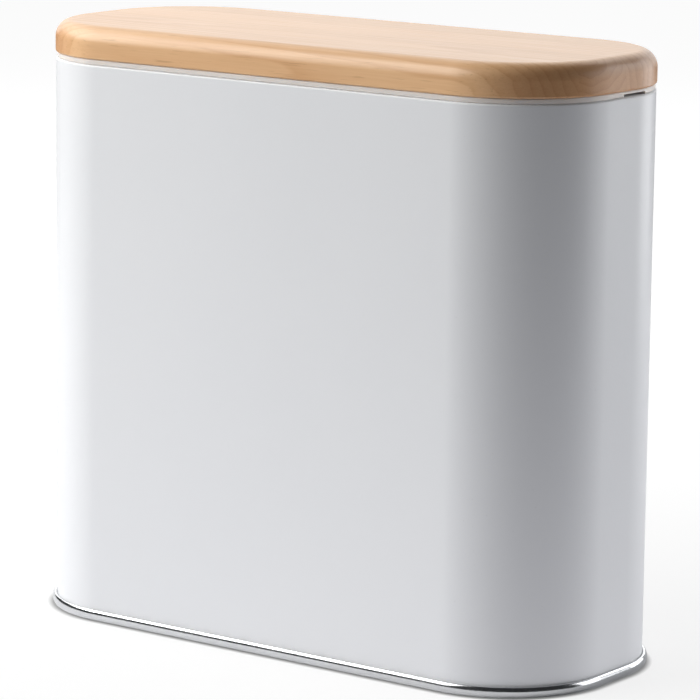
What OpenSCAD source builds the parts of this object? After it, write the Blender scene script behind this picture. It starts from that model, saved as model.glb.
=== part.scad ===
// Upright bread bin: a seamed sheet-steel body with rounded ends, a recessed steel base
// held by a double seam, and a lift-off wooden lid with a silicone seal.
// Millimetres. +X runs along the long side, -Y is the front, +Z is up.
// The origin is at the middle of the footprint, on the surface the bin stands on.

/* [Body] */
// Width of the body, outside
body_w = 340; // [300:5:380]
// Depth of the body, outside
body_d = 140; // [120:2:180]
// Height of the rim above the floor
body_h = 298; // [200:1:360]
// Outside radius of the four upright corners
corner_r = 57; // [40:1:59]
// Thickness of the steel sheet
sheet_t = 0.5; // [0.4:0.05:0.6]

/* [Rim] */
// Width of the flat ledge that carries the lid
ledge_w = 5; // [4:0.5:7]
// Height of the lip that turns down inside the mouth
lip_h = 6; // [4:0.5:12]
// Outside radius of the bends in the sheet
bend_r = 1; // [0.8:0.1:1.4]
// Width of the welded lap at the back of the body
lap_w = 5; // [3:1:8]

/* [Base] */
// Height of the double seam round the base
seam_h = 5.6; // [5.2:0.1:7]
// Radius of the bulge of the seam's outer face
seam_bulge_r = 4.5; // [4:0.25:7]
// Gap between the folded layers of the seam
seam_gap = 0.08; // [0.05:0.01:0.12]
// Height of the base panel above the floor
panel_z = 6; // [5:0.5:10]
// Radius of the stiffening bead in the base panel
bead_r = 2.5; // [1.5:0.25:4]
// Distance of the bead from the body's outside
bead_inset = 22; // [14:1:30]

/* [Lid] */
// Thickness of the wooden board
board_t = 17; // [15:0.5:24]
// Radius of the board's top edge
top_round = 9; // [4:0.5:12]
// Radius of the board's bottom edge
bottom_round = 1; // [0.5:0.25:2]
// How far the board stands out past the body
board_over = 0.3; // [0:0.1:2]
// Thickness of the plug board that drops into the mouth
plug_t = 9; // [7:0.5:14]
// Gap between the plug board and the lip
plug_gap = 2.5; // [2.2:0.1:4]

/* [Seal] */
// Thickness of the seal's flange, between the board and the rim
seal_t = 3; // [2.4:0.1:4]
// How far the flange sits back from the body's outside
seal_inset = 0.5; // [0.3:0.1:1.5]
// Thickness of the seal's upright leg round the plug board
leg_t = 1.2; // [0.8:0.1:1.2]
// How far each fin stands out from the leg
fin_reach = 0.8; // [0.4:0.1:0.8]
// Width of the vent gap at each end of the seal
vent_w = 20; // [12:1:24]
// How far the vent gaps sit back from the middle of the ends
vent_back = 10; // [0:1:12]
// Height of the vent gap at each end of the seal
vent_h = 1.5; // [1:0.1:1.8]

/* [Hidden] */
fine = 96;                                // facets of a full circle
hair = 0.01;                              // overreach of a cutting shape
stave_count = 4;
corner_x = body_w / 2 - corner_r;         // centres of the upright corners
corner_y = body_d / 2 - corner_r;
bend_in = bend_r - sheet_t;               // inside radius of a bend
lip_r = corner_r - bend_r - ledge_w;      // lip's outer bend centre
mouth_r = lip_r - bend_r;                 // inside of the lip, from a corner's centre

// folded layers of the base seam, counted outwards from the body wall
cover_hook_x = corner_r + seam_gap;
body_hook_x = cover_hook_x + sheet_t + seam_gap;
seam_round_r = 2 * sheet_t;               // outside radius of the seam's top and bottom bends
seam_centre_x = cover_hook_x + seam_round_r;
bulge_dz = seam_h / 2 - seam_round_r;
bulge_dx = sqrt(pow(seam_bulge_r - seam_round_r, 2) - pow(bulge_dz, 2));
bulge_x = seam_centre_x - bulge_dx;
bulge_angle = atan2(bulge_dz, bulge_dx);
hook_mid_x = (corner_r + body_hook_x) / 2;
hook_in_r = (body_hook_x - corner_r) / 2;
hook_z = sheet_t + seam_gap + hook_in_r + sheet_t;
hook_clear = 0.4;                         // free length past the end of each hook
chuck_x = corner_r - 2 * sheet_t - seam_gap;
lap_rise = 3;                             // start of the welded lap above the base panel
beyond = 4;                               // how many radii a cutting shape reaches out

// lid
seal_z = body_h;
board_z = seal_z + seal_t;
plug_r = mouth_r - plug_gap;
plug_z = board_z - plug_t;
leg_rise = 1.2;                           // leg's bottom above the plug board's
leg_bottom = plug_z + leg_rise;
fin_h = 0.8;
fin_pitch = 1.9;
fin_count = 2;
stave_d = (body_d + 2 * board_over) / stave_count;
plug_edge = 1;                            // radius of the plug board's edges
seal_edge = seal_t / 4;                   // radius of the flange's outer edges
edge_fine = 48;                           // facets of a small edge's circle
wood_colours = ["#e9cfa8", "#ecd5b3", "#e6c9a0", "#ebd2ac"];

// ---- sweeps round the rounded rectangle ---------------------------------------------
// In a profile, x is the distance out from a corner's centre and y is the height.

// Sweeps a profile round the four corners and along the four sides
module around() {
    for (k = [0 : 3])
        translate([corner_x * (k == 0 || k == 3 ? 1 : -1), corner_y * (k < 2 ? 1 : -1), 0])
            rotate([0, 0, 90 * k])
                rotate_extrude(angle = 90, $fn = fine)
                    children();
    for (turn = [0, 180])
        rotate([0, 0, turn]) {
            translate([-corner_x, corner_y, 0])
                rotate([90, 0, 90])
                    linear_extrude(2 * corner_x)
                        children();
            translate([corner_x, corner_y, 0])
                rotate([90, 0, 0])
                    linear_extrude(2 * corner_y)
                        children();
        }
}

// Fills the middle of a swept plate, between two heights
module middle(low, high) {
    translate([-corner_x, -corner_y, low])
        cube([2 * corner_x, 2 * corner_y, high - low]);
}

// A rectangle from its two opposite corners
module span(x0, y0, x1, y1) {
    translate([x0, y0])
        square([x1 - x0, y1 - y0]);
}

// A bend in the sheet: the part of a ring of outside radius r at [x, y] that the
// rectangle from [x0, y0] to [x1, y1] keeps
module bend(x, y, r, x0, y0, x1, y1) {
    intersection() {
        difference() {
            translate([x, y])
                circle(r, $fn = fine);
            translate([x, y])
                circle(r - sheet_t, $fn = fine);
        }
        span(x0, y0, x1, y1);
    }
}

// ---- bin ------------------------------------------------------------------------------

module body_profile() {
    bend_z = body_h - bend_r;
    // wall, ledge and lip
    span(corner_r - sheet_t, hook_z, corner_r, bend_z);
    span(lip_r, body_h - sheet_t, corner_r - bend_r, body_h);
    span(mouth_r, body_h - lip_h, mouth_r + sheet_t, bend_z);
    bend(corner_r - bend_r, bend_z, bend_r, corner_r - bend_r, bend_z, corner_r, body_h);
    bend(lip_r, bend_z, bend_r, mouth_r, bend_z, lip_r, body_h);
    // hook that the base is folded round
    bend(hook_mid_x, hook_z, hook_in_r + sheet_t,
        corner_r - sheet_t, 0, body_hook_x + sheet_t, hook_z);
    span(body_hook_x, hook_z, body_hook_x + sheet_t, seam_h - sheet_t - hook_clear - bend_in);
}

module body_shell() {
    lap_bottom = panel_z + lap_rise;
    color("#eeeef2") {
        around()
            body_profile();
        // lap of the welded side seam, inside the back wall
        translate([-lap_w / 2, body_d / 2 - 2 * sheet_t, lap_bottom])
            cube([lap_w, sheet_t + hair, body_h - lip_h - lap_bottom]);
    }
}

// Bulged outer face of the seam, between its top and bottom bends
module seam_face() {
    reach = seam_bulge_r * beyond;
    intersection() {
        difference() {
            translate([bulge_x, seam_h / 2])
                circle(seam_bulge_r, $fn = fine);
            translate([bulge_x, seam_h / 2])
                circle(seam_bulge_r - sheet_t, $fn = fine);
        }
        translate([bulge_x, seam_h / 2])
            polygon([
                [0, 0],
                reach * [cos(bulge_angle), -sin(bulge_angle)],
                reach * [cos(bulge_angle), sin(bulge_angle)]
            ]);
    }
}

// Bend at the top or the bottom of the seam's outer face, turned up or down
module seam_bend(z, up) {
    reach = seam_round_r * beyond;
    side = up ? 1 : -1;
    intersection() {
        difference() {
            translate([seam_centre_x, z])
                circle(seam_round_r, $fn = fine);
            translate([seam_centre_x, z])
                circle(seam_round_r - sheet_t, $fn = fine);
        }
        translate([seam_centre_x, z])
            polygon([
                [0, 0],
                reach * [cos(bulge_angle), side * sin(bulge_angle)],
                [0, side * reach],
                [up ? -reach : 0, side * reach],
                [up ? -reach : 0, 0]
            ]);
    }
}

module base_profile() {
    foot_x = chuck_x + seam_round_r;
    panel_bend_z = panel_z + sheet_t - bend_r;
    bead_x = corner_r - bead_inset;
    // outer face of the seam, cover hook and foot
    seam_face();
    seam_bend(seam_h - seam_round_r, true);
    seam_bend(seam_round_r, false);
    span(cover_hook_x, hook_z + hook_clear, cover_hook_x + sheet_t, seam_h - seam_round_r);
    span(foot_x, 0, seam_centre_x, sheet_t);
    // chuck wall inside the body, up to the recessed panel
    bend(foot_x, seam_round_r, seam_round_r, chuck_x, 0, foot_x, seam_round_r);
    span(chuck_x, seam_round_r, chuck_x + sheet_t, panel_bend_z);
    bend(chuck_x - bend_in, panel_bend_z, bend_r,
        chuck_x - bend_in, panel_bend_z, chuck_x + sheet_t, panel_bend_z + bend_r);
    // panel with its stiffening bead
    span(0, panel_z, bead_x - bead_r + sheet_t, panel_z + sheet_t);
    span(bead_x + bead_r - sheet_t, panel_z, chuck_x - bend_in, panel_z + sheet_t);
    bend(bead_x, panel_z, bead_r, bead_x - bead_r, panel_z, bead_x + bead_r, panel_z + bead_r);
}

module base_pan() {
    color("#d3d6da") {
        around()
            base_profile();
        middle(panel_z, panel_z + sheet_t);
    }
}

// ---- lid ------------------------------------------------------------------------------

// Outline of a board from its middle to its edge, rounded at its top and bottom edges
module board_profile(r, z, t, top_r, bottom_r) {
    translate([0, z]) {
        span(0, bottom_r, r, t - top_r);
        span(0, 0, r - bottom_r, t - top_r);
        span(0, t - top_r, r - top_r, t);
        translate([r - bottom_r, bottom_r])
            circle(bottom_r, $fn = fine);
        intersection() {
            translate([r - top_r, t - top_r])
                circle(top_r, $fn = fine);
            span(r - top_r, t - top_r, r, t);
        }
    }
}

// One of the boards glued edge to edge, counted from the front
module lid_stave(index) {
    color(wood_colours[index])
        intersection() {
            union() {
                around()
                    board_profile(corner_r + board_over, board_z, board_t, top_round, bottom_round);
                middle(board_z, board_z + board_t);
            }
            translate([-body_w, index * stave_d - body_d / 2 - board_over, board_z - hair])
                cube([2 * body_w, stave_d, board_t + 2 * hair]);
        }
}

module plug_board() {
    color("#d9b98c") {
        around()
            board_profile(plug_r, plug_z, plug_t, plug_edge, plug_edge);
        middle(plug_z, board_z);
    }
}

module seal_profile() {
    flange_r = corner_r - seal_inset;
    span(plug_r, seal_z, flange_r - seal_edge, board_z);
    span(plug_r, seal_z + seal_edge, flange_r, board_z - seal_edge);
    for (z = [seal_z + seal_edge, board_z - seal_edge])
        translate([flange_r - seal_edge, z])
            circle(seal_edge, $fn = edge_fine);
    span(plug_r, leg_bottom, plug_r + leg_t, seal_z + hair);
    for (k = [0 : fin_count - 1])
        span(plug_r, leg_bottom + k * fin_pitch, plug_r + leg_t + fin_reach,
            leg_bottom + k * fin_pitch + fin_h);
}

module seal_ring() {
    color("#f2efe8")
        difference() {
            around()
                seal_profile();
            // vent gap at both ends
            for (side = [0, 1])
                mirror([side, 0, 0])
                    translate([corner_x, vent_back - vent_w / 2, leg_bottom - hair])
                        cube([2 * corner_r, vent_w, seal_z + vent_h - leg_bottom + hair]);
        }
}

body_shell();
base_pan();
lid_stave(0);  // lid_stave_1
lid_stave(1);  // lid_stave_2
lid_stave(2);  // lid_stave_3
lid_stave(3);  // lid_stave_4
plug_board();
seal_ring();
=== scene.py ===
"""Looks of the upright bread bin: a white enamelled steel body, a bright base folded on with a
double seam, and a lift-off lid of glued wooden boards with a milky silicone seal.

Lengths are written in millimetres and turned into metres where a mesh, light or camera is made.
The long side runs along X, the front faces -Y, and the bin stands on z = 0.
"""

import math

import bmesh
import bpy
from mathutils import Matrix, Vector

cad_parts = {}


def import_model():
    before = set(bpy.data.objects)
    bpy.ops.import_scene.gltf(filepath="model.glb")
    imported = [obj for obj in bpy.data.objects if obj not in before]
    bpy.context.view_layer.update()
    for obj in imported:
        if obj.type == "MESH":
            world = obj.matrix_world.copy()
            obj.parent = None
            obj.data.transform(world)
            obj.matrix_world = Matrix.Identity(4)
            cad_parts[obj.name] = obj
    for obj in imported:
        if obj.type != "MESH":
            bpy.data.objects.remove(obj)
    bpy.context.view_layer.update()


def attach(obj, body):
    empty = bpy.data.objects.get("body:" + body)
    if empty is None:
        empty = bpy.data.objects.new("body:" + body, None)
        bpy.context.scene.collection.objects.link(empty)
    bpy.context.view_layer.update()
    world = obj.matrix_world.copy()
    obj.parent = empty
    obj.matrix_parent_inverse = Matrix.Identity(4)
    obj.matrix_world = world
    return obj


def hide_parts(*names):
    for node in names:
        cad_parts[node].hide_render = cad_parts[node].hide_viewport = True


MM = 0.001

# Body
CORNER_X = 113.0  # the upright corners' centres are at +-CORNER_X, +-CORNER_Y
CORNER_Y = 13.0
CORNER_R = 57.0  # outside radius of an upright corner
BODY_H = 298.0
SHEET = 0.5  # thickness of the steel
LEDGE = 5.0  # flat ledge that carries the lid
LIP_H = 6.0  # lip turned down inside the mouth
BEND = 1.0  # outside radius of the bends in the sheet
HOOK_R = 0.33  # inside radius of the body's hook in the base seam
HOOK_Z = 1.41  # height where the hook starts to turn
HOOK_TOP = 4.2  # height of the hook's end
LAP_W = 5.0  # welded lap inside the back wall
LAP_FOOT = 3.0  # height of the lap's foot above PANEL_Z
LAP_EDGE = 0.3  # bevel along the lap's edges
GROOVE = 0.35  # half width of the welded seam's groove outside
GROOVE_DEPTH = 0.15
GROOVE_SPAN = 60.0  # the back wall has a row of points this far to each side of the seam

# Base
SEAM_H = 5.6  # height of the double seam
SEAM_GAP = 0.08  # gap between the seam's folded layers
BULGE_R = 4.5  # radius of the seam's slightly bulged outside
FOLD_LOW = 1.81  # height of the end of the base's own hook, inside the seam
PANEL_Z = 6.0  # underside of the recessed panel
BEAD_R = 2.5
BEAD_AT = 35.0  # distance of the stiffening bead from a corner's centre

# Lid
SEAL_T = 3.0  # thickness of the seal's flange
BOARD_Z = BODY_H + SEAL_T
BOARD_T = 17.0
BOARD_R = CORNER_R + 0.3
TOP_ROUND = 9.0
LOW_ROUND = 1.0
PLUG_R = 47.5
PLUG_T = 9.0
PLUG_EDGE = 1.0
STAVES = 4

# Seal
FLANGE_R = CORNER_R - 0.5
LEG_T = 1.2  # thickness of the leg round the plug board
LEG_LOW = 293.2  # height of the leg's lower end
FIN_REACH = 0.8
FIN_H = 0.8
FIN_PITCH = 1.9
VENT_W = 20.0  # length of a vent gap
VENT_BACK = 10.0  # how far a vent gap sits back from the middle of its end
VENT_TOP = BODY_H + 1.5

CORNER_STEPS = 32  # faces round one upright corner
PLATE_R = 2.0  # where a swept plate hands over to its flat middle
CLOSE = 0.001  # two places this close count as one
CUT_REACH = 1e-7  # in metres: a cut passes through points this close to it
SQUARE_ON = 0.9999  # the part of a unit normal along Y that tells a cut face from the rest

# Wood
WOOD_LIGHT = (0.76, 0.47, 0.25)
WOOD_DARK = (0.60, 0.32, 0.145)
# Darker, warmer boards' ends: partly real end grain, partly painted shade.
END_GRAIN_AND_SHADE = (0.80, 0.70, 0.64)  # what the colour is multiplied by at the boards' ends
STAVE_TINTS = ((1.0, 1.0, 1.0), (0.985, 0.97, 0.95), (1.01, 1.0, 0.99), (0.975, 0.965, 0.94))
PLUG_TINT = (0.95, 0.93, 0.90)
RINGS = 190.0  # growth rings in a metre

# Stage, in metres and watts
FLOOR_REACH = 9.0
FLOOR_DROP = 0.0003  # how far the floor in view lies under the paper
# Closer to the bin than these distances the floor glows less: a painted contact shadow round its
# foot.
CONTACT_SHADOW_FROM = 0.0592  # the floor's glow rises between these two distances from the rectangle
CONTACT_SHADOW_TO = 0.0625  # that the corners' centres make, just outside the base seam
PAPER_REACH = 3.0
AIM_Z = 0.15  # height that the lamps face
LAMPS = (
    # name, azimuth, elevation, distance, width, height, watts, colour
    ("key_left", -48, 36, 1.6, 1.6, 1.1, 26.5, (1.0, 1.0, 0.99)),
    ("key_far_left", -72, 36, 1.6, 1.6, 1.0, 12.0, (1.0, 1.0, 0.99)),
    ("fill_right", 126, 12, 1.4, 0.7, 1.1, 4.6, (0.97, 0.98, 1.0)),
    ("fill_back_right", 158, 12, 1.4, 0.7, 1.1, 7.2, (0.98, 0.99, 1.0)),
    ("fill_back_soft", 158, 12, 1.4, 0.7, 1.1, 5.6, (0.98, 0.99, 1.0)),
    ("back_panel", 216, 32, 2.2, 3.0, 2.6, 37.0, (0.98, 0.99, 1.0)),
)
NO_GLOSS = ("fill_back_soft",)  # lamps that leave no reflection
GLOSS_ONLY = ("back_panel",)  # lamps that only show in gloss


# ---- profiles --------------------------------------------------------------------------------
# A profile is a list of steps ((x0, z0), (x1, z1), normal0, normal1). x is the distance out from
# a corner's centre. Going along it, the open air is on the right.


def line(x0, z0, x1, z1, parts=1):
    """A straight run of the profile."""
    length = math.hypot(x1 - x0, z1 - z0)
    normal = ((z1 - z0) / length, (x0 - x1) / length)
    steps = []
    for k in range(parts):
        a, b = k / parts, (k + 1) / parts
        start = (x0 + (x1 - x0) * a, z0 + (z1 - z0) * a)
        end = (x0 + (x1 - x0) * b, z0 + (z1 - z0) * b)
        steps.append((start, end, normal, normal))
    return steps


def arc(x, z, r, start, end, parts=8):
    """An arc of the profile from one angle to another in degrees. Falling angles make a hollow."""
    side = 1 if end > start else -1
    steps = []
    for k in range(parts):
        ends, normals = [], []
        for j in (k, k + 1):
            a = math.radians(start + (end - start) * j / parts)
            ends.append((x + r * math.cos(a), z + r * math.sin(a)))
            normals.append((side * math.cos(a), side * math.sin(a)))
        steps.append((*ends, *normals))
    return steps


def body_profile():
    """The sheet of the body: wall, rolled rim, ledge, lip, and the hook inside the base seam."""
    inner = BEND - SHEET
    lip_x = CORNER_R - BEND - LEDGE
    mouth_r = lip_x - BEND
    bend_z = BODY_H - BEND
    tip_z = BODY_H - LIP_H + SHEET / 2
    hook_x = CORNER_R + HOOK_R
    hook_in = hook_x + HOOK_R
    hook_out = hook_in + SHEET
    return (
        line(CORNER_R, HOOK_Z, CORNER_R, bend_z, 6)
        + arc(CORNER_R - BEND, bend_z, BEND, 0, 90)
        + line(CORNER_R - BEND, BODY_H, lip_x, BODY_H)
        + arc(lip_x, bend_z, BEND, 90, 180)
        + line(mouth_r, bend_z, mouth_r, tip_z)
        + arc(mouth_r + SHEET / 2, tip_z, SHEET / 2, 180, 360, 6)
        + line(mouth_r + SHEET, tip_z, mouth_r + SHEET, bend_z)
        + arc(lip_x, bend_z, inner, 180, 90)
        + line(lip_x, BODY_H - SHEET, CORNER_R - BEND, BODY_H - SHEET)
        + arc(CORNER_R - BEND, bend_z, inner, 90, 0)
        + line(CORNER_R - SHEET, bend_z, CORNER_R - SHEET, HOOK_Z, 6)
        + arc(hook_x, HOOK_Z, HOOK_R + SHEET, 180, 360)
        + line(hook_out, HOOK_Z, hook_out, HOOK_TOP)
        + line(hook_out, HOOK_TOP, hook_in, HOOK_TOP)
        + line(hook_in, HOOK_TOP, hook_in, HOOK_Z)
        + arc(hook_x, HOOK_Z, HOOK_R, 0, -180)
    )


def base_profile():
    """The sheet of the base: recessed panel with its bead, chuck wall, foot, bulged seam, hook."""
    round_r = 2 * SHEET
    hook_x = CORNER_R + SEAM_GAP
    seam_x = hook_x + round_r
    chuck_x = CORNER_R - 2 * SHEET - SEAM_GAP
    foot_x = chuck_x + round_r
    inner = BEND - SHEET
    bend_x = chuck_x - inner
    bend_z = PANEL_Z + SHEET - BEND
    rise = SEAM_H / 2 - round_r
    run = math.sqrt((BULGE_R - round_r) ** 2 - rise**2)
    bulge_x = seam_x - run
    bulge_z = SEAM_H / 2
    turn = math.degrees(math.atan2(rise, run))
    low = round_r
    high = SEAM_H - round_r
    top = PANEL_Z + SHEET
    meet = math.degrees(math.asin(SHEET / BEAD_R))
    half = BEAD_R * math.cos(math.radians(meet))
    return (
        line(PLATE_R, PANEL_Z, BEAD_AT - BEAD_R + SHEET, PANEL_Z)
        + arc(BEAD_AT, PANEL_Z, BEAD_R - SHEET, 180, 0, 12)
        + line(BEAD_AT + BEAD_R - SHEET, PANEL_Z, bend_x, PANEL_Z)
        + arc(bend_x, bend_z, inner, 90, 0)
        + line(chuck_x, bend_z, chuck_x, low)
        + arc(foot_x, low, round_r, 180, 270)
        + line(foot_x, 0, seam_x, 0)
        + arc(seam_x, low, round_r, 270, 360 - turn)
        + arc(bulge_x, bulge_z, BULGE_R, -turn, turn, 14)
        + arc(seam_x, high, round_r, turn, 180, 14)
        + line(hook_x, high, hook_x, FOLD_LOW)
        + line(hook_x, FOLD_LOW, hook_x + SHEET, FOLD_LOW)
        + line(hook_x + SHEET, FOLD_LOW, hook_x + SHEET, high)
        + arc(seam_x, high, round_r - SHEET, 180, turn)
        + arc(bulge_x, bulge_z, BULGE_R - SHEET, turn, -turn)
        + arc(seam_x, low, round_r - SHEET, -turn, -90)
        + line(seam_x, SHEET, foot_x, SHEET)
        + arc(foot_x, low, round_r - SHEET, 270, 180)
        + line(chuck_x + SHEET, low, chuck_x + SHEET, bend_z)
        + arc(bend_x, bend_z, BEND, 0, 90)
        + line(bend_x, top, BEAD_AT + half, top)
        + arc(BEAD_AT, PANEL_Z, BEAD_R, meet, 180 - meet, 12)
        + line(BEAD_AT - half, top, PLATE_R, top)
    )


def board_profile(r, low, thick, top_r, low_r):
    """A board's half section, from the middle of its underside out and round to its top."""
    high = low + thick
    return (
        line(PLATE_R, low, r - low_r, low, 2)
        + arc(r - low_r, low + low_r, low_r, -90, 0, 6)
        + line(r, low + low_r, r, high - top_r)
        + arc(r - top_r, high - top_r, top_r, 0, 90, 16)
        + line(r - top_r, high, PLATE_R, high, 2)
    )


def seal_profile():
    """The seal: a flange under the board, and a leg with two soft fins inside the mouth."""
    edge = SEAL_T / 4
    leg_x = PLUG_R + LEG_T
    fin_r = FIN_H / 2
    fin_x = leg_x + FIN_REACH - fin_r
    second = LEG_LOW + FIN_PITCH
    steps = line(PLUG_R, BOARD_Z, PLUG_R, LEG_LOW)
    for start, low, end in ((PLUG_R, LEG_LOW, second), (leg_x, second, BODY_H)):
        steps += line(start, low, fin_x, low)
        steps += arc(fin_x, low + fin_r, fin_r, -90, 90, 6)
        steps += line(fin_x, low + FIN_H, leg_x, low + FIN_H)
        steps += line(leg_x, low + FIN_H, leg_x, end)
    steps += line(leg_x, BODY_H, FLANGE_R - edge, BODY_H)
    steps += arc(FLANGE_R - edge, BODY_H + edge, edge, -90, 0, 6)
    steps += line(FLANGE_R, BODY_H + edge, FLANGE_R, VENT_TOP)
    steps += line(FLANGE_R, VENT_TOP, FLANGE_R, BOARD_Z - edge)
    steps += arc(FLANGE_R - edge, BOARD_Z - edge, edge, 0, 90, 6)
    steps += line(FLANGE_R - edge, BOARD_Z, PLUG_R, BOARD_Z)
    return steps


# ---- sweeps round the rounded rectangle ------------------------------------------------------


def stations(long_parts=8, extra=()):
    """Places round the rounded rectangle: (x, y, outward x, outward y, inset).

    long_parts is the number of faces along the front wall. extra holds (x, inset) pairs along
    the back wall, and inset draws the sheet's outer side inwards.
    """
    places = []
    for k in range(4):
        cx = CORNER_X * (1 if k in (0, 3) else -1)
        cy = CORNER_Y * (1 if k < 2 else -1)
        for j in range(CORNER_STEPS + 1):
            a = math.radians(90 * k + 90 * j / CORNER_STEPS)
            places.append((cx, cy, math.cos(a), math.sin(a), 0.0))
        if k == 0:
            for x, inset in extra:
                places.append((x, cy, 0.0, 1.0, inset))
        if k == 2:
            for j in range(1, long_parts):
                x = -CORNER_X + 2 * CORNER_X * j / long_parts
                places.append((x, cy, 0.0, -1.0, 0.0))
    return places


def place(station, point, inset=0.0):
    """The place in metres of a profile's point at one station."""
    cx, cy, ux, uy = station[:4]
    r = point[0] - inset
    return Vector(((cx + ux * r) * MM, (cy + uy * r) * MM, point[1] * MM))


def direction(station, normal):
    """A profile's normal, turned to face outwards at one station."""
    return Vector((station[2] * normal[0], station[3] * normal[0], normal[1]))


class Skin:
    """Faces with the exact normal of the surface at each of their corners."""

    def __init__(self):
        self.bm = bmesh.new()
        self.verts = {}
        self.normals = []

    def vert(self, co):
        """The point at a place in metres, made once."""
        key = tuple(round(c, 7) for c in co)
        if key not in self.verts:
            self.verts[key] = self.bm.verts.new(co)
        return self.verts[key]

    def face(self, corners):
        """Adds a face from (place, normal) pairs. Corners that fall together are merged."""
        loop = []
        for co, normal in corners:
            v = self.vert(co)
            if all(v is not other for other, _ in loop):
                loop.append((v, normal))
        if len(loop) < 3:
            return
        self.bm.faces.new([v for v, _ in loop])
        self.normals.extend(normal.normalized() for _, normal in loop)

    def sweep_once(self, steps, s, t):
        """Carries a profile from one station to the next. Only its outermost sheet is inset."""
        for a, b, na, nb in steps:
            outer = max(a[0], b[0]) > CORNER_R - SHEET / 2
            i, j = (s[4], t[4]) if outer else (0.0, 0.0)
            self.face(
                [
                    (place(s, a, i), direction(s, na)),
                    (place(t, a, j), direction(t, na)),
                    (place(t, b, j), direction(t, nb)),
                    (place(s, b, i), direction(s, nb)),
                ]
            )

    def sweep(self, steps, places):
        """Carries a profile round the stations."""
        for s, t in zip(places, places[1:] + places[:1]):
            self.sweep_once(steps, s, t)

    def plate(self, places, r, z, up):
        """Fills the flat middle of a swept plate."""
        side = Vector((0, 0, 1 if up else -1))
        ring = [(place(s, (r, z)), side) for s in places]
        self.face(ring if up else ring[::-1])

    def strip(self, x0, x1, y0, y1, z0, z1, edge):
        """A thin upright strip with bevelled long edges, its back face on y1."""
        xs = (x0, x0 + edge, x1 - edge, x1)
        ys = (y1, y0, y0, y1)
        front = Vector((0, -1, 0))
        for k in range(3):
            slope = Vector((ys[k + 1] - ys[k], -(xs[k + 1] - xs[k]), 0)).normalized()
            corners = [
                (xs[k], ys[k], z0),
                (xs[k + 1], ys[k + 1], z0),
                (xs[k + 1], ys[k + 1], z1),
                (xs[k], ys[k], z1),
            ]
            normal = front if k == 1 else slope
            self.face([(Vector(c) * MM, normal) for c in corners])
        for z, up in ((z0, -1), (z1, 1)):
            ring = [(Vector((x, y, z)) * MM, Vector((0, 0, up))) for x, y in zip(xs, ys)]
            self.face(ring if up > 0 else ring[::-1])

    def build(self, name, material):
        """Makes the object, and gives its faces the normals that were kept."""
        mesh = bpy.data.meshes.new(name)
        self.bm.to_mesh(mesh)
        self.bm.free()
        mesh.polygons.foreach_set("use_smooth", [True] * len(mesh.polygons))
        mesh.normals_split_custom_set([tuple(n) for n in self.normals])
        return add_object(name, mesh, material)


def add_object(name, mesh, material):
    """Puts a mesh in the scene."""
    mesh.materials.append(material)
    obj = bpy.data.objects.new(name, mesh)
    bpy.context.collection.objects.link(obj)
    return obj


# ---- pieces ----------------------------------------------------------------------------------


def make_body(material):
    """The body, with the groove of its welded seam at the back and the lap inside it."""
    seam = (
        (GROOVE_SPAN, 0.0),
        (GROOVE, 0.0),
        (GROOVE / 2, GROOVE_DEPTH),
        (-GROOVE / 2, GROOVE_DEPTH),
        (-GROOVE, 0.0),
        (-GROOVE_SPAN, 0.0),
    )
    skin = Skin()
    skin.sweep(body_profile(), stations(extra=seam))
    inside = CORNER_Y + CORNER_R - SHEET
    foot = PANEL_Z + LAP_FOOT
    top = BODY_H - LIP_H
    skin.strip(-LAP_W / 2, LAP_W / 2, inside - SHEET, inside, foot, top, LAP_EDGE)
    obj = skin.build("body_steel", material)
    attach(obj, "bin")
    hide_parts("body_shell")


def make_base(material):
    """The base: the swept sheet, and the flat middle of its panel."""
    places = stations()
    skin = Skin()
    skin.sweep(base_profile(), places)
    skin.plate(places, PLATE_R, PANEL_Z, False)
    skin.plate(places, PLATE_R, PANEL_Z + SHEET, True)
    obj = skin.build("base_steel", material)
    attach(obj, "bin")
    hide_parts("base_pan")


def board_normal(co, r, low, thick, top_r, low_r):
    """The exact normal of a board's rounded surface at a place given in millimetres."""
    dx = math.copysign(max(abs(co.x) - CORNER_X, 0.0), co.x)
    dy = math.copysign(max(abs(co.y) - CORNER_Y, 0.0), co.y)
    out = math.hypot(dx, dy)
    high = low + thick
    if co.z > high - top_r and out > r - top_r:
        side, lift = out - (r - top_r), co.z - (high - top_r)
    elif co.z < low + low_r and out > r - low_r:
        side, lift = out - (r - low_r), co.z - (low + low_r)
    elif abs(co.z - high) < CLOSE:
        side, lift = 0.0, 1.0
    elif abs(co.z - low) < CLOSE:
        side, lift = 0.0, -1.0
    else:
        side, lift = 1.0, 0.0
    if out < CLOSE:
        return Vector((0, 0, lift)).normalized()
    return Vector((side * dx / out, side * dy / out, lift)).normalized()


def make_board(name, material, shape, cuts):
    """A board with rounded edges. shape is what board_profile takes, and cuts holds pairs: the
    y of a straight cut, and whether the side above it is kept."""
    skin = Skin()
    places = stations()
    skin.sweep(board_profile(*shape), places)
    skin.plate(places, PLATE_R, shape[1], False)
    skin.plate(places, PLATE_R, shape[1] + shape[2], True)
    bm = skin.bm
    for y, keep_above in cuts:
        cut = bmesh.ops.bisect_plane(
            bm,
            geom=bm.verts[:] + bm.edges[:] + bm.faces[:],
            dist=CUT_REACH,
            plane_co=(0, y * MM, 0),
            plane_no=(0, 1, 0),
            clear_inner=keep_above,
            clear_outer=not keep_above,
        )
        edges = [e for e in cut["geom_cut"] if isinstance(e, bmesh.types.BMEdge)]
        bmesh.ops.contextual_create(bm, geom=edges)
    bmesh.ops.recalc_face_normals(bm, faces=bm.faces[:])
    normals = []
    for f in bm.faces:
        f.normal_update()
        on_cut = any(abs(f.verts[0].co.y / MM - y) < CLOSE for y, _ in cuts)
        flat = on_cut and abs(f.normal.y) > SQUARE_ON
        for v in f.verts:
            normals.append(f.normal.copy() if flat else board_normal(v.co / MM, *shape))
    skin.normals = normals
    return skin.build(name, material)


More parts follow.
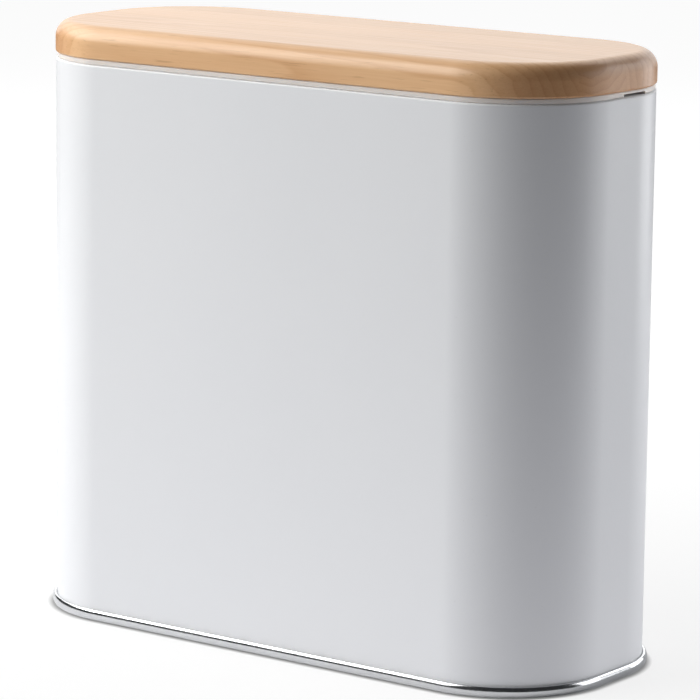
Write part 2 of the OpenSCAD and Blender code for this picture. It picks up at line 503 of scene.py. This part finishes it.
def make_lid(materials):
    """The lid's boards, from front to back, cut from one shape."""
    shape = (BOARD_R, BOARD_Z, BOARD_T, TOP_ROUND, LOW_ROUND)
    half = CORNER_Y + BOARD_R
    width = 2 * half / STAVES
    for k in range(STAVES):
        cuts = []
        if k > 0:
            cuts.append((-half + k * width, True))
        if k < STAVES - 1:
            cuts.append((-half + (k + 1) * width, False))
        obj = make_board(f"lid_board_{k + 1}", materials[k], shape, cuts)
        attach(obj, "lid")
        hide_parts(f"lid_stave_{k + 1}")


def make_plug(material):
    """The board under the lid that drops into the mouth."""
    shape = (PLUG_R, BOARD_Z - PLUG_T, PLUG_T, PLUG_EDGE, PLUG_EDGE)
    obj = make_board("plug_panel", material, shape, [])
    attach(obj, "lid")
    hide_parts("plug_board")


def trimmed(steps):
    """The seal's profile where a vent gap takes away all that lies under its top."""
    leg_x = PLUG_R + LEG_T
    down = (0, -1)

    def lift(point):
        """Raises a point to the gap's top, and draws a fin's point back to the leg."""
        x, z = point
        if z >= VENT_TOP:
            return point
        if z < BODY_H:
            x = min(x, leg_x)
        return (x, VENT_TOP)

    cut = []
    for a, b, na, nb in steps:
        start, end = lift(a), lift(b)
        if start[1] == end[1] == VENT_TOP:
            na = nb = down
        cut.append((start, end, na, nb))
    return cut


def vent_ring():
    """The stations, each with a flag that says whether it is in a vent gap. Each end of a gap
    is there twice, outside it and in it. A gap starts on the flat of the bin's end and runs
    round the back corner as far as turn."""
    middle_r = (PLUG_R + FLANGE_R) / 2
    turn = math.asin((VENT_BACK + VENT_W / 2 - CORNER_Y) / middle_r)
    ring = []
    for s in stations(long_parts=4):
        ring.append((s, s[1] > 0 and 0 <= s[3] < math.sin(turn)))
    edged = []
    for (s, s_cut), (t, t_cut) in zip(ring, ring[1:] + ring[:1]):
        edged.append((s, s_cut))
        if s_cut == t_cut:
            continue
        side = math.copysign(1, s[0])
        if s[1] * t[1] < 0:
            edge = (side * CORNER_X, VENT_BACK - VENT_W / 2, side, 0.0, 0.0)
        else:
            edge = (side * CORNER_X, CORNER_Y, side * math.cos(turn), math.sin(turn), 0.0)
        edged += [(edge, s_cut), (edge, t_cut)]
    return edged


def make_seal(material):
    """The seal as one ring, with a vent gap left out of its underside at both ends."""
    steps = seal_profile()
    cut = trimmed(steps)
    below = [a for a, _, _, _ in steps if a[1] < VENT_TOP]
    wall = [(FLANGE_R, VENT_TOP), (PLUG_R, VENT_TOP)] + below  # closes each end of a gap
    ring = vent_ring()
    skin = Skin()
    for (s, s_cut), (t, t_cut) in zip(ring, ring[1:] + ring[:1]):
        if s_cut == t_cut:
            skin.sweep_once(cut if s_cut else steps, s, t)
            continue
        along = Vector((-s[3], s[2], 0)) * (1 if t_cut else -1)
        corners = [(place(s, p), along) for p in wall]
        skin.face(corners[::-1] if t_cut else corners)
    obj = skin.build("seal", material)
    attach(obj, "lid")
    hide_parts("seal_ring")


# ---- materials -------------------------------------------------------------------------------


class Shade:
    """A node material with a Principled surface, built one node at a time."""

    def __init__(self, name, **surface):
        self.mat = bpy.data.materials.new(name)
        self.mat.use_nodes = True
        self.tree = self.mat.node_tree
        self.tree.nodes.clear()
        out = self.tree.nodes.new("ShaderNodeOutputMaterial")
        self.surface = self.add("ShaderNodeBsdfPrincipled", **surface)
        self.tree.links.new(self.surface.outputs["BSDF"], out.inputs["Surface"])
        coordinates = self.add("ShaderNodeTexCoord").outputs
        self.place, self.facing = coordinates["Object"], coordinates["Normal"]

    def add(self, kind, settings=None, **inputs):
        """Makes a node. An input's name has _ for each space, and i0, i1 pick inputs by order."""
        node = self.tree.nodes.new(kind)
        for key, value in (settings or {}).items():
            setattr(node, key, value)
        for key, value in inputs.items():
            self.put(node, key, value)
        return node

    def put(self, node, key, value):
        """Gives an input a value, or links another node's output to it."""
        if key[0] == "i" and key[1:].isdigit():
            socket = node.inputs[int(key[1:])]
        else:
            name = key.replace("_", " ").lower()
            socket = next(s for s in node.inputs if s.name.lower() == name and s.enabled)
        if isinstance(value, bpy.types.NodeSocket):
            self.tree.links.new(value, socket)
        else:
            socket.default_value = value

    def stretch(self, x, y, z, shift=(0, 0, 0)):
        """The object's own coordinates, scaled to repeats per metre."""
        node = self.add("ShaderNodeMapping", Vector=self.place)
        node.inputs["Scale"].default_value = (x, y, z)
        node.inputs["Location"].default_value = shift
        return node.outputs["Vector"]

    def noise(self, vector, scale, detail=2.0, roughness=0.5):
        """Noise from 0 to 1 at a place that stretch gives."""
        node = self.add(
            "ShaderNodeTexNoise",
            Vector=vector,
            Scale=scale,
            Detail=detail,
            Roughness=roughness,
        )
        return node.outputs["Fac"]

    def math(self, operation, a, b=0.0, clamp=False):
        """One sum. clamp holds its result between 0 and 1."""
        settings = {"operation": operation, "use_clamp": clamp}
        return self.add("ShaderNodeMath", settings, i0=a, i1=b).outputs["Value"]

    def split(self, vector):
        """A vector's X, Y and Z."""
        return self.add("ShaderNodeSeparateXYZ", Vector=vector).outputs

    def spread(self, value, low, high, to_low, to_high):
        """A value mapped from one range onto another, and held inside it."""
        node = self.add(
            "ShaderNodeMapRange",
            Value=value,
            From_Min=low,
            From_Max=high,
            To_Min=to_low,
            To_Max=to_high,
        )
        return node.outputs["Result"]

    def blend(self, factor, a, b, mode="MIX"):
        """Two colours, mixed by a factor from 0 to 1."""
        settings = {"data_type": "RGBA", "blend_type": mode, "clamp_factor": True}
        node = self.add("ShaderNodeMix", settings)
        for socket, value in ((node.inputs[0], factor), (node.inputs[6], a), (node.inputs[7], b)):
            if isinstance(value, bpy.types.NodeSocket):
                self.tree.links.new(value, socket)
            else:
                socket.default_value = value if socket.name == "Factor" else (*value, 1.0)
        return node.outputs[2]

    def bump(self, height, depth, after=None):
        """Bump of that depth in metres, on top of an earlier one."""
        node = self.add("ShaderNodeBump", Height=height, Distance=depth, Strength=1.0)
        if after is not None:
            self.put(node, "Normal", after)
        return node.outputs["Normal"]

    def finish(self, colour, roughness, normal=None):
        """Links what was made to the surface, and returns the material."""
        self.put(self.surface, "Base_Color", colour)
        self.put(self.surface, "Roughness", roughness)
        if normal is not None:
            self.put(self.surface, "Normal", normal)
        return self.mat


def enamel():
    """White baked enamel: a satin gloss with fine orange peel over slightly uneven sheet, a few
    grey specks, and a duller bend round the rim."""
    s = Shade("white_enamel", Specular_IOR_Level=0.45)
    mottle = s.noise(s.stretch(1, 1, 1), 9.0, 3.0)
    colour = s.blend(mottle, (0.775, 0.785, 0.80), (0.80, 0.805, 0.815))
    speck = s.noise(s.stretch(1, 1, 1, (3, 1, 2)), 900.0, 1.0)
    colour = s.blend(s.spread(speck, 0.74, 0.80, 0.0, 0.35), colour, (0.62, 0.62, 0.62))
    gloss = s.noise(s.stretch(1, 1, 1, (5, 5, 5)), 24.0, 4.0)
    rough = s.spread(gloss, 0.2, 0.8, 0.315, 0.345)
    height = s.split(s.place)["Z"]
    rim = (BODY_H - BEND) * MM
    rough = s.math("ADD", rough, s.spread(height, rim - 0.0002, rim + 0.0003, 0.0, 0.35))
    peel = s.noise(s.stretch(1, 1, 1, (7, 2, 9)), 520.0, 2.0, 0.55)
    wave = s.noise(s.stretch(1, 1, 0.45, (2, 8, 4)), 7.0, 1.0)
    normal = s.bump(wave, 0.0009)
    normal = s.bump(peel, 0.000025, normal)
    return s.finish(colour, rough, normal)


def bright_steel():
    """Bright tinplate: fine rolled lines along X, faint stains and slight dents."""
    s = Shade("bright_steel", Metallic=1.0)
    tarnish = s.noise(s.stretch(1, 1, 1), 14.0, 4.0, 0.6)
    colour = s.blend(tarnish, (0.70, 0.71, 0.73), (0.77, 0.775, 0.785))
    lines = s.noise(s.stretch(1.5, 160, 160), 14.0, 2.0)
    rough = s.spread(tarnish, 0.25, 0.75, 0.10, 0.19)
    rough = s.math("ADD", rough, s.spread(lines, 0.3, 0.7, 0.0, 0.05))
    dent = s.noise(s.stretch(1, 1, 1, (1, 4, 2)), 55.0, 1.0)
    normal = s.bump(dent, 0.00006)
    normal = s.bump(lines, 0.000006, normal)
    return s.finish(colour, rough, normal)


def wood(name, seed, tint, lacquer):
    """Pale solid wood, its grain along X: growth rings round a heart outside the board, fibres,
    clouding, short dark pores, and ends that are darker and warmer, partly end grain and partly
    painted shade. lacquer is the clear coat's weight."""
    s = Shade(name, Coat_Weight=lacquer, Coat_Roughness=0.24, Specular_IOR_Level=0.3)
    shift = (seed * 0.37, seed * 0.011, seed * 0.007)
    wander = s.noise(s.stretch(3.2, 22, 22, shift), 1.0, 3.0, 0.55)
    odd = seed % 2
    heart_y, heart_z = (-0.045, 0.35) if odd else (0.03, 0.37)
    xyz = s.split(s.stretch(1, 1, 1))
    tilt = s.math("MULTIPLY", xyz["X"], 0.05 if odd else -0.05)
    dy = s.math("ADD", s.math("ADD", xyz["Y"], tilt), heart_y * seed * 0.6)
    dz = s.math("SUBTRACT", xyz["Z"], heart_z - 0.012 * seed)
    away = s.math("SQRT", s.math("ADD", s.math("POWER", dy, 2.0), s.math("POWER", dz, 2.0)))
    away = s.math("ADD", away, s.spread(wander, 0.2, 0.8, -0.008, 0.008))
    wave = s.math("FRACT", s.math("MULTIPLY", away, RINGS))
    late = s.math("POWER", wave, 2.6)
    late = s.math("MULTIPLY", late, s.spread(wave, 0.93, 1.0, 1.0, 0.0))
    fibre = s.noise(s.stretch(14, 1100, 1100, shift), 1.0, 3.0, 0.6)
    fleck = s.noise(s.stretch(60, 1700, 1700, shift), 1.0, 1.0)
    cloud = s.noise(s.stretch(5, 16, 16, shift), 1.0, 2.0)
    light = tuple(c * t for c, t in zip(WOOD_LIGHT, tint))
    dark = tuple(c * t for c, t in zip(WOOD_DARK, tint))
    amount = s.math("MULTIPLY", late, 0.55)
    amount = s.math("ADD", amount, s.spread(fibre, 0.3, 0.7, -0.12, 0.22), True)
    amount = s.math("ADD", amount, s.spread(cloud, 0.3, 0.7, -0.10, 0.25), True)
    colour = s.blend(amount, light, dark)
    # Painted shade and end grain: the boards' ends, found by how far they face along X, are
    # multiplied darker.
    endways_grain_and_shade = s.math("ABSOLUTE", s.split(s.facing)["X"])
    colour = s.blend(s.spread(endways_grain_and_shade, 0.25, 0.65, 0.0, 1.0), colour, END_GRAIN_AND_SHADE, "MULTIPLY")
    pore = s.spread(fleck, 0.66, 0.74, 0.0, 0.45)
    colour = s.blend(pore, colour, tuple(c * 0.72 for c in dark))
    rough = s.spread(fibre, 0.3, 0.7, 0.36, 0.48)
    normal = s.bump(fibre, 0.00002)
    normal = s.bump(late, 0.00002, normal)
    return s.finish(colour, rough, normal)


def silicone():
    """Milky silicone rubber, faintly cloudy, with a finely matt skin. Its warm beige tint is
    painted bounce light from the wooden lid above.
    """
    s = Shade(
        "silicone",
        Subsurface_Weight=0.6,
        Subsurface_Radius=(0.0035, 0.003, 0.0025),
        Subsurface_Scale=1.0,
        Specular_IOR_Level=0.4,
    )
    cloud = s.noise(s.stretch(1, 1, 1), 60.0, 3.0)
    # The warm beige is painted bounce light from the wood on a milky seal.
    colour = s.blend(cloud, (0.78, 0.70, 0.645), (0.84, 0.765, 0.71))
    rough = s.spread(cloud, 0.3, 0.7, 0.36, 0.5)
    fine = s.noise(s.stretch(1, 1, 1, (4, 4, 1)), 1500.0, 2.0)
    return s.finish(colour, rough, s.bump(fine, 0.00001))


def floor_white():
    """The plain pale floor. It glows a little so that it stays pale, but glows less under and
    close round the bin, which paints a contact shadow there.
    """
    s = Shade("floor_white", Specular_IOR_Level=0.2)
    s.surface.inputs["Emission Color"].default_value = (1.0, 1.0, 1.0, 1.0)
    xyz = s.split(s.place)
    squares = []
    for axis, centre in (("X", CORNER_X), ("Y", CORNER_Y)):
        over = s.math("SUBTRACT", s.math("ABSOLUTE", xyz[axis]), centre * MM)
        squares.append(s.math("POWER", s.math("MAXIMUM", over, 0.0), 2.0))
    away = s.math("SQRT", s.math("ADD", *squares))
    # Painted contact shadow: the floor's glow drops low close round the bin's foot.
    glow_with_painted_shadow = s.spread(away, CONTACT_SHADOW_FROM, CONTACT_SHADOW_TO, 0.2, 0.78)
    glow_with_painted_shadow = s.math("ADD", glow_with_painted_shadow, s.spread(away, 0.3, 1.3, 0.0, 0.17))
    s.put(s.surface, "Emission_Strength", glow_with_painted_shadow)
    patch = s.noise(s.stretch(1, 1, 1), 1.2, 1.0)
    colour = s.blend(patch, (0.19, 0.19, 0.19), (0.20, 0.20, 0.20))
    return s.finish(colour, s.spread(patch, 0.3, 0.7, 0.8, 0.9))


def floor_paper():
    """What the bin's own gloss sees of the floor: white paper, lit only by the lamps."""
    s = Shade("floor_paper", Specular_IOR_Level=0.1)
    patch = s.noise(s.stretch(1, 1, 1), 2.0, 1.0)
    colour = s.blend(patch, (0.78, 0.78, 0.79), (0.80, 0.80, 0.81))
    return s.finish(colour, s.spread(patch, 0.3, 0.7, 0.8, 0.9))


# ---- stage -----------------------------------------------------------------------------------


def make_floor(name, material, reach, z):
    """A wide flat sheet, which leaves the light thrown back onto the bin to the bounce light."""
    bm = bmesh.new()
    bmesh.ops.create_grid(bm, x_segments=12, y_segments=12, size=reach)
    for v in bm.verts:
        v.co.z = z
    mesh = bpy.data.meshes.new(name)
    bm.to_mesh(mesh)
    bm.free()
    floor = add_object(name, mesh, material)
    floor.visible_diffuse = False
    return floor


def make_floors():
    """The floor in view, and the sheet of paper on it that only shows in reflections."""
    seen = make_floor("floor", floor_white(), FLOOR_REACH, -FLOOR_DROP)
    seen.visible_glossy = False
    paper = make_floor("floor_paper", floor_paper(), PAPER_REACH, 0.0)
    paper.visible_camera = False
    paper.visible_shadow = False


def toward(azimuth, elevation):
    """The direction from the bin to a place round it. 0 is the front and 90 is +X, in degrees."""
    a, e = math.radians(azimuth), math.radians(elevation)
    return Vector((math.sin(a) * math.cos(e), -math.cos(a) * math.cos(e), math.sin(e)))


def add_lamp(name, width, height, watts, colour):
    """A soft rectangular light that the camera doesn't see."""
    data = bpy.data.lights.new(name, "AREA")
    data.shape = "RECTANGLE"
    data.size = width
    data.size_y = height
    data.energy = watts
    data.color = colour
    lamp = bpy.data.objects.new(name, data)
    lamp.visible_camera = False
    bpy.context.collection.objects.link(lamp)
    return lamp


def make_lights():
    """The lamps round the bin, and the light that the floor throws back up."""
    for name, azimuth, elevation, distance, width, height, watts, colour in LAMPS:
        lamp = add_lamp(name, width, height, watts, colour)
        away = toward(azimuth, elevation)
        lamp.location = Vector((0, 0, AIM_Z)) + away * distance
        lamp.rotation_mode = "QUATERNION"
        lamp.rotation_quaternion = (-away).to_track_quat("-Z", "Y")
        lamp.visible_glossy = name not in NO_GLOSS
        lamp.visible_diffuse = name not in GLOSS_ONLY
    bounce = add_lamp("bounce", 1.3, 1.1, 4.0, (0.95, 0.95, 1.0))
    bounce.location = (0, 0, 0.001)
    bounce.rotation_euler = (math.pi, 0, 0)
    bounce.visible_glossy = False


def make_world():
    """A dim, slightly blue room, behind a white that only the camera sees."""
    world = bpy.data.worlds.new("room")
    bpy.context.scene.world = world
    world.use_nodes = True
    nodes, links = world.node_tree.nodes, world.node_tree.links
    nodes.clear()
    out = nodes.new("ShaderNodeOutputWorld")
    mix = nodes.new("ShaderNodeMixShader")
    path = nodes.new("ShaderNodeLightPath")
    room = nodes.new("ShaderNodeBackground")
    seen = nodes.new("ShaderNodeBackground")
    room.inputs["Color"].default_value = (0.90, 0.95, 1.0, 1.0)
    room.inputs["Strength"].default_value = 0.03
    seen.inputs["Color"].default_value = (1.0, 1.0, 1.0, 1.0)
    seen.inputs["Strength"].default_value = 1.0
    links.new(path.outputs["Is Camera Ray"], mix.inputs[0])
    links.new(room.outputs[0], mix.inputs[1])
    links.new(seen.outputs[0], mix.inputs[2])
    links.new(mix.outputs[0], out.inputs["Surface"])


def make_camera():
    """A long lens from the front right, above the lid. Angles are in degrees: the yaw turns it
    towards -X, the pitch down, and the roll about its own line of sight."""
    spot = Vector((1.21507, -1.64902, 0.53756))
    yaw, pitch, roll = (math.radians(a) for a in (36.313, 10.70, 0.659))
    right = Vector((math.cos(yaw), math.sin(yaw), 0))
    ahead = Vector(
        (-math.sin(yaw) * math.cos(pitch), math.cos(yaw) * math.cos(pitch), -math.sin(pitch))
    )
    up = right.cross(ahead)
    side = right * math.cos(roll) + up * math.sin(roll)
    top = up * math.cos(roll) - right * math.sin(roll)
    data = bpy.data.cameras.new("camera")
    data.sensor_width = 36.0
    data.lens = 203.76
    data.clip_start = 0.05
    data.clip_end = 60.0
    camera = bpy.data.objects.new("camera", data)
    camera.matrix_world = Matrix(
        (
            (side.x, top.x, -ahead.x, spot.x),
            (side.y, top.y, -ahead.y, spot.y),
            (side.z, top.z, -ahead.z, spot.z),
            (0, 0, 0, 1),
        )
    )
    bpy.context.collection.objects.link(camera)
    bpy.context.scene.camera = camera


def set_tone():
    """Plain tones, so that white enamel stays white."""
    view = bpy.context.scene.view_settings
    view.view_transform = "Standard"
    view.look = "None"
    view.exposure = 0.0
    view.gamma = 1.0


def main():
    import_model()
    make_camera()
    make_body(enamel())
    make_base(bright_steel())
    make_lid([wood(f"lid_wood_{k}", k, tint, 0.3) for k, tint in enumerate(STAVE_TINTS, 1)])
    make_plug(wood("plug_wood", 7, PLUG_TINT, 0.15))
    make_seal(silicone())
    make_floors()
    make_lights()
    make_world()
    set_tone()


main()
